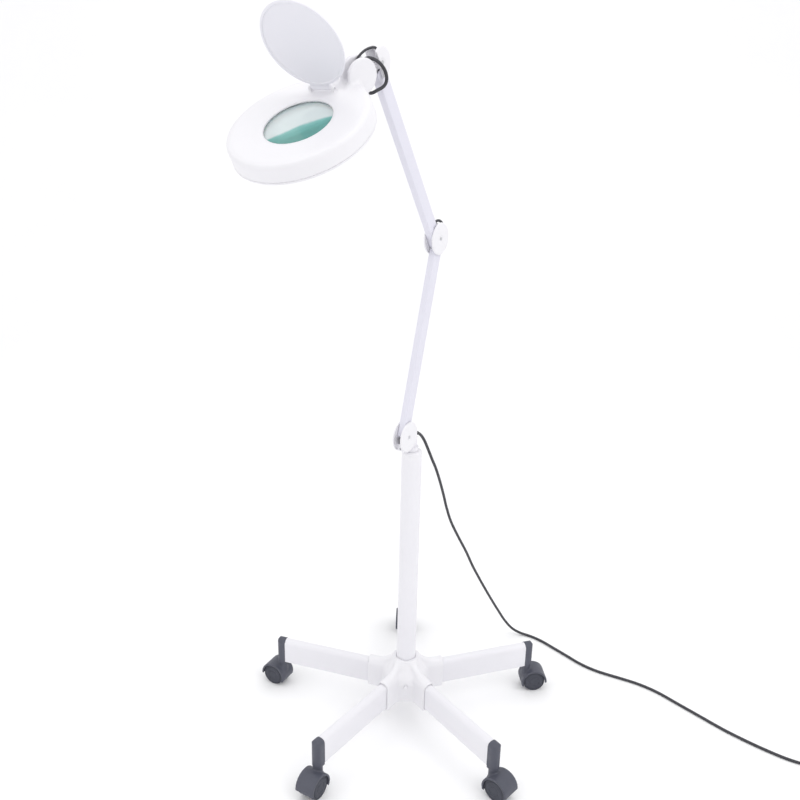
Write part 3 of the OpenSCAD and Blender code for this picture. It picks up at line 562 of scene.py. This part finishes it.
# ------------------------------------------------------------------ arms: folded channels with bent corners and rounded tails
def channel(name, place, x0, t, y_web, y_open, yp, rp, a, b, rc, deep=0.0, off=(0.0, 0.0), tail=0.0):
    """A U-shaped channel. Its web is at y_web, its free edges at y_open, and its ends are rounded about the pivots."""
    s = 1 if y_open > y_web else -1
    out = rounded([(-x0, y_open, 0.3), (-x0, y_web, rc), (x0, y_web, rc), (x0, y_open, 0.3)], 0.3, 6)[:]
    # keep the outline open between the two free edges
    inn = rounded([(-x0 + t, y_open, 0.3), (-x0 + t, y_web + s * t, max(rc - t, 0.4)), (x0 - t, y_web + s * t, max(rc - t, 0.4)), (x0 - t, y_open, 0.3)], 0.3, 6)
    n = len(out)
    O, I = np.array(out), np.array(inn)
    a = a - tail
    zs = [None, a + 8, a + 30 + tail, a + 36 + tail] + list(np.linspace(a + 60, b - 60, 10)) + [b - 36, b - 30, b - 8, None]
    V = []
    for j, zz in enumerate(zs):
        for P in (O, I):
            for x, y in P:
                zc = min(max(zz if zz is not None else (a if j == 0 else b), a), b)
                sh = off[0] + (off[1] - off[0]) * (zc - a) / (b - a)
                yy = y + (deep if 3 <= j <= len(zs) - 4 and abs(y - y_open) < 1.0 else 0.0)
                if zz is None:
                    dz = math.sqrt(max(rp * rp - min(abs(y - yp), rp) ** 2, 0))
                    V.append((x, yy + sh, a - dz if j == 0 else b + dz))
                else:
                    V.append((x, yy + sh, zz))
    m = 2 * n
    F = []
    for j in range(len(zs) - 1):
        q, w = j * m, (j + 1) * m
        for k in range(n - 1):
            F.append((q + k, q + k + 1, w + k + 1, w + k))
            F.append((q + n + k, w + n + k, w + n + k + 1, q + n + k + 1))
        F.append((q, w, w + n, q + n))
        F.append((q + n - 1, q + 2 * n - 1, w + 2 * n - 1, w + n - 1))
    e = (len(zs) - 1) * m
    for k in range(n - 1):
        F.append((k, n + k, n + k + 1, k + 1))
        F.append((e + k, e + k + 1, e + n + k + 1, e + n + k))
    if s < 0:
        F = [f[::-1] for f in F]
    return obj_from(name, place(np.array(V, float)), F, ARM_SHADED_COAT, angle=35)
for nm, place, body, node, args in (
        ("lower_front_link", lower, "lower_front", "lower_front_channel", (6.5, 1.0, -13.5, -2.0, -6, 7.5, 4, 358, 2.0, 6.5, (-5.5, 6.0))),
        ("lower_rear_link", lower, "lower_rear", "lower_rear_channel", (5.2, 1.0, 13.5, -3.5, 6.5, 6.0, 4, 358, 1.8, 0.0, (-5.5, 6.0))),
        ("upper_front_link", upper, "upper_front", "upper_front_channel", (6.5, 1.0, -14.5, -2.0, -7, 7.5, 6, 357, 2.0, 6.5, (-4.5, -3.0), 14.0)),
        ("upper_rear_link", upper, "upper_rear", "upper_rear_channel", (5.2, 1.0, 13.0, -3.5, 6.5, 6.0, 6, 357, 1.8, 0.0, (-4.5, -3.0)))):
    o = channel(nm, place, *args)
    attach(o, body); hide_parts(node)

# ------------------------------------------------------------------ joint covers: pressed discs with a rolled rim and a centre recess
def cover_prof(R, x_in=7.05):
    return rounded([(1.5, 8.2, 0), (R - 2.6, 8.2, 0.4), (R - 2.6, x_in, 0.3), (R, x_in, 0.4), (R, 9.6, 1.4), (R - 1.6, 10.55, 1.2), (R - 7, 10.9, 2), (7.5, 10.95, 1), (6.2, 10.5, 0.8), (4.6, 9.9, 0.6), (1.5, 9.9, 0)], 0.3, 4)
def covers(name, centre, R, body, node, cut=None):
    VV, FF = [], []
    for s in (-1, 1):
        V, F = lathe(cover_prof(R), 96)
        Rr = ry(rad(90 * s))
        W = (Rr @ V.T).T
        FF += [tuple(np.array(f) + len(V) * len(VV)) for f in F]
        VV.append(W)
    V = np.concatenate(VV)
    if cut is not None:
        V = cut(V)
    o = obj_from(name, arms(V + centre), FF, WHITE, angle=50)
    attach(o, body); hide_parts(node)
    return o
covers("bracket_cover_discs", D0, 30, "arm_base", "bracket_covers")
covers("elbow_cover_discs", D1, 30, "elbow", "elbow_covers")
def flat_cut(V):
    # the end covers are cut flat where the head swings past: points ahead of the cut are drawn back onto it
    n = np.array([0, -math.cos(rad(31.75)), -math.sin(rad(31.75))])
    d = V @ n - 8.0
    return V - np.maximum(d, 0)[:, None] * n
covers("end_cover_discs", D2, 24, "arm_end", "end_covers", flat_cut)

# ------------------------------------------------------------------ head: shell with its two neck cheeks, one moulding
HEAD_TOP = rounded([(55.3, -6.4, 0.4), (55.3, -3.0, 1.0), (58.6, -3.3, 0.6), (60.4, -2.4, 1.0), (72, -2.2, 6), (92, -0.4, 12), (105, 0.3, 8), (112.4, -0.6, 4), (114.6, -5.5, 4), (115.3, -28.5, 0.3), (110.5, -28.5, 0), (110.3, -10, 2), (106, -7, 2), (72, -8.5, 1), (66.4, -8.5, 0.5), (66.4, -11, 0.3), (64.2, -11, 0.3), (64.2, -6.6, 0.3)], 0.5, 6)
TN = 125.8
CH = [(TN - 1.5 + 28.5 * math.cos(a), 5.5 + 28.5 * math.sin(a)) for a in np.linspace(rad(-112), rad(135), 44)] + [(98, 8.0), (93, 3.0), (96, -24), (106, -25)]
def head_fn(x, y, z):
    r = np.hypot(x, y)
    d = sd_poly(r, z, HEAD_TOP)
    u = x * math.cos(NECK) + y * math.sin(NECK)
    v = -x * math.sin(NECK) + y * math.cos(NECK)
    w = z + 4.0
    ch = ext(sd_poly(u, w, CH), np.abs(np.abs(v) - 9.7) - 3.3, 2.6)
    root = sd_box(u, v, w, (105, 0, -9), (9.5, 12.8, 12.5), 3)
    root = np.maximum(root, 70 - r)
    d = smin(d, root, 5)
    d = smin(d, ch, 7.0)
    slot_ = ext(np.hypot(u - TN, w) - 16.0, np.abs(v) - 6.4, 0.0)
    slot_ = np.minimum(slot_, sd_box(u, v, w, (TN + 20, 0, 0), (32, 6.4, 40)))
    d = np.maximum(d, -slot_)
    # hinge ears for the lens cover
    ear = np.minimum(np.abs(x - 22), np.abs(x + 22)) - 2.5
    ed = ext(np.hypot(y - 77, z - 4.5) - 3.5, ear, 0.6)
    ef = ext(sd_poly(y, z, [(73.5, -3), (80.5, -3), (80.5, 4.5), (73.5, 4.5)]), ear, 0.6)
    d = smin(d, np.minimum(ed, ef), 1.5)
    # switch opening in the side wall
    c, s = math.cos(rad(135)), math.sin(rad(135))
    q = x * c + y * s
    sw = np.maximum(np.hypot(-x * s + y * c, z + 17) - 5.6, 100 - q)
    d = smax(d, -sw, 0.6)
    return np.maximum(d, -28.5 - z)
V, F = nets(head_fn, (-118, -118, -31), (118, 152, 36), 1.6)
o = obj_from("head_shell", head(V), F, WHITE)
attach(o, "head"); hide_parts("head_housing")

# lower rim, a shade narrower at its foot
V, F = lathe(rounded([(100.6, -30.4, 0.3), (102, -33, 1.0), (113.6, -33, 1.2), (115.2, -31.4, 0.8), (115.6, -29.2, 0.4), (114.9, -28.9, 0.2), (114.6, -28.6, 0.2), (104, -28.6, 0.4), (100.6, -28.6, 0)], 0.4, 4), 160)
o = obj_from("head_lower_rim", head(V), F, WHITE, angle=50)
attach(o, "head"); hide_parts("head_base")
# diffuser: shallow ribbed ring under the lights and the wall round the lens
prof = [(66.5, -15), (68.5, -15), (68.5, -30.5)]
prof += [(68.5 + 2.0 * k, -30.5) for k in range(1, 16)] + [(100.5, -30.5), (100.5, -32.5)]
rr = np.linspace(99, 66, 67)
prof += [(r, -32.5 + 0.35 * (k % 2)) for k, r in enumerate(rr)]
prof += [(64.5, -32.9), (62.5, -32.6), (62.5, -30.5), (66.5, -30.5)]
V, F = lathe(prof, 128)
o = obj_from("light_diffuser", head(V), F, DIFF, angle=30)
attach(o, "head"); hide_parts("diffuser")
# lens
a = np.linspace(0, 1, 22)
top = [(61 * t, -4.2 - 4.3 * t * t) for t in a]
prof = top + [(63.3, -8.6), (63.5, -8.8), (63.5, -11.2), (63.3, -11.5)] + [(61 * t, -15.8 + 4.3 * t * t) for t in a[::-1]]
V, F = lathe(prof, 128)
vol = sum(float(np.dot(V[f[0]], np.cross(V[f[i]], V[f[i + 1]]))) for f in F for i in range(1, len(f) - 1))
if vol < 0:
    F = [f[::-1] for f in F]
o = obj_from("lens_blank", head(V), F, GLASS, angle=50)
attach(o, "head"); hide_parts("lens")

# ------------------------------------------------------------------ lens cover
LID_O = rad(-85.8)
R_LID = R_HEAD @ rx(LID_O)
def lid(p): return (R_LID @ (np.asarray(p, float) - np.array([0, 77, 4.5])).T).T + head([0, 77, 4.5])
prof = rounded([(0, 2.9, 0), (40, 2.5, 6), (60, 1.9, 6), (66.2, 1.6, 1), (67, 0.4, 0.5), (70.4, 0.6, 0.4), (71, 1.6, 0.8), (70.6, 3.2, 1.6), (66, 4.3, 4), (50, 5.0, 10), (25, 5.6, 10), (0, 5.8, 0)], 0.5, 6)
V, F = lathe(prof, 160)
o = obj_from("lens_cover_disc", lid(V), F, LID, angle=50)
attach(o, "cover"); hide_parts("lens_cover")
def tab_fn(x, y, z):
    plate = sd_box(x, y, z, (0, 69.5, 3.6), (18.6, 7.5, 1.5), 0.9)
    bar = ext(np.hypot(y - 77, z - 4.5) - 3.3, np.abs(x) - 18.8, 0.6)
    d = smin(plate, bar, 2.0)
    return np.maximum(d, 1.56 - np.hypot(y - 77, z - 4.5))
V, F = nets(tab_fn, (-21, 60, 0), (21, 82, 9), 0.8)
o = obj_from("lens_cover_hinge", lid(V), F, LID)
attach(o, "cover")
def boss_fn(x, y, z):
    return smax(np.sqrt(x * x + (y - 63) ** 2 + (z - 3.4) ** 2) - 3.4, 4.0 - z, 0.8)

# ------------------------------------------------------------------ knuckle between the cheeks
def kn_fn(x, y, z):
    K, T = 152.8, 125.8
    d = ext(np.hypot(x - T, z) - 13.8, np.abs(y) - 6.0, 1.0)
    bar = sd_box(x, y, z, ((T + K - 7) / 2, 0, 0), ((K - 7 - T) / 2, 6.0, 8.7), 1.2)
    d = smin(d, bar, 2.0)
    for s in (-1, 1):
        lug = ext(np.hypot(x - K, y) - 5.5, np.abs(z - s * 7.05) - 1.75, 0.5)
        arm_ = sd_box(x, y, z, (K - 6, 0, s * 7.05), (6.5, 5.5, 1.75), 0.5)
        d = smin(d, np.minimum(lug, arm_), 0.8)
    d = np.maximum(d, -ext(np.hypot(x - K, y) - 6.6, np.abs(z) - 5.3, 0))
    d = np.maximum(d, 2.5 - np.hypot(x - K, y))
    return np.maximum(d, 4.05 - np.hypot(x - T, z))
V, F = nets(kn_fn, (109, -8, -16), (161, 8, 16), 0.8)
o = obj_from("knuckle_casting", neck(V), F, PAINT)
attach(o, "knuckle"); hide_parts("head_knuckle")

# ------------------------------------------------------------------ cord sleeve at the bracket and the short cords over the joints
for o_, m_ in ((cord_o, CORD), (plug_o, PLUG), (pins_o, PIN)):
    o_.data.materials.append(m_)
prof = [(0, 0), (5.6, 0), (5.7, 1.2)]
for k in range(6):
    z0 = 3.2 + 3.4 * k
    r0 = 5.5 - 0.078 * z0
    prof += [(r0, z0 - 0.6), (r0 - 0.9, z0), (r0 - 1.0, z0 + 0.9), (r0 - 0.2, z0 + 1.5)]
prof += [(3.75, 25.2), (3.5, 26.2), (3.2, 26.5), (0, 26.5)]
V, F = lathe(prof, 40)
V = (rx(rad(-114)) @ V.T).T + np.array([0, -3, 662.5])
sleeve = obj_from("cord_sleeve", arms(V), F, CORD, angle=40)
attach(sleeve, "arm_base"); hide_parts("cord_relief")
def block_fn(x, y, z): return sd_box(x, y, z, (0, -6, 657.25), (6.4, 5, 6.75), 1.2)
V, F = nets(block_fn, (-9, -13, 648), (9, 1, 666), 0.9)
o = obj_from("cord_clamp", arms(V), F, CORD)
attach(o, "arm_base")
def joint_cord(name, pts, r, node=None):
    P = arms(smooth_path(pts, 6))
    V, F = tube(P, r, 14)
    o = obj_from(name, V, F, CORD)
    if node:
        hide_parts(node)
    return o
EC = [tuple(np.array(q) + D1) for q in [(0, -19, 25), (0, -12, 29.5), (0, -4, 31.8), (0, 5, 32.2), (0, 13, 30.2), (0, 20, 25.5), (0, 22.5, 18.5), (0, 18.5, 11.5), (0, 12.5, 5), (0, 7, -1.5), (0, 1.5, -8), (0, -3, -14)]]
o = joint_cord("elbow_joint_cord", EC, 2.5, "elbow_cord")
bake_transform(o)
LP = [(-6.2, -184.3, 1324.3), (-5, -184, 1327), (-2, -180, 1335), (4, -172, 1339), (11, -161, 1335.5), (14.8, -149, 1327), (15.2, -139, 1315.5), (14.8, -138, 1304.5), (12, -143, 1297), (6, -151.9, 1291.5), (1.8, -154.6, 1288.7), (-2.5, -157.7, 1287.7), (-6.1, -161.2, 1289.4), (-8, -164.5, 1293.4), (-8.3, -167.7, 1298.3)]
o = joint_cord("head_loop_cord", LP, 2.7, "head_cord")
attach(o, "knuckle")
AR = [(-11.8, -186.3, 1322.8), (-11.5, -187, 1327), (-9, -181, 1340), (-5.5, -169, 1349.5), (-3, -155, 1354), (-2.5, -142, 1353.5), (-2, -133, 1346)]
o = joint_cord("head_arch_cord", AR, 2.0)
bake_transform(o)

# ------------------------------------------------------------------ floor and light
def stage_plane():
    W, D, H, r = 9.0, 4.2, 6.0, 1.6
    prof = [(-5.0, 0)] + [(D - r + r * math.sin(a), r - r * math.cos(a)) for a in np.linspace(0, math.pi / 2, 24)] + [(D, H)]
    V = [(x * 1000, y * 1000, z * 1000) for y, z in prof for x in (-W, W)]
    F = [(2 * i, 2 * i + 1, 2 * i + 3, 2 * i + 2) for i in range(len(prof) - 1)]
    m = mat("floor", lin(250, 250, 251), 0.75, vary=0.01, vary_scale=1.2, bump=[(300, 0.03)], Specular_IOR_Level=0.1)
    o = obj_from("studio_floor", V, F, m)
stage_plane()

def area(name, loc, target, size, power, color=(1, 1, 1)):
    d = bpy.data.lights.new(name, "AREA"); d.shape = "SQUARE"; d.size = size; d.energy = power; d.color = color
    o = bpy.data.objects.new(name, d); SC.collection.objects.link(o)
    o.location = loc
    o.rotation_euler = (Vector(target) - Vector(loc)).to_track_quat("-Z", "Y").to_euler()
    return o
area("key", (1.9, -1.4, 3.0), (0, 0, 0.7), 2.2, 19)
area("fill", (-2.6, -1.2, 1.9), (0, 0, 0.8), 2.4, 8)
area("top", (0, 0.4, 3.6), (0, 0.2, 0), 3.4, 13)
w = bpy.data.worlds.new("studio"); SC.world = w; w.use_nodes = True
w.node_tree.nodes["Background"].inputs["Color"].default_value = (1, 1, 1, 1)
w.node_tree.nodes["Background"].inputs["Strength"].default_value = 0.98
SC.view_settings.view_transform = "Standard"
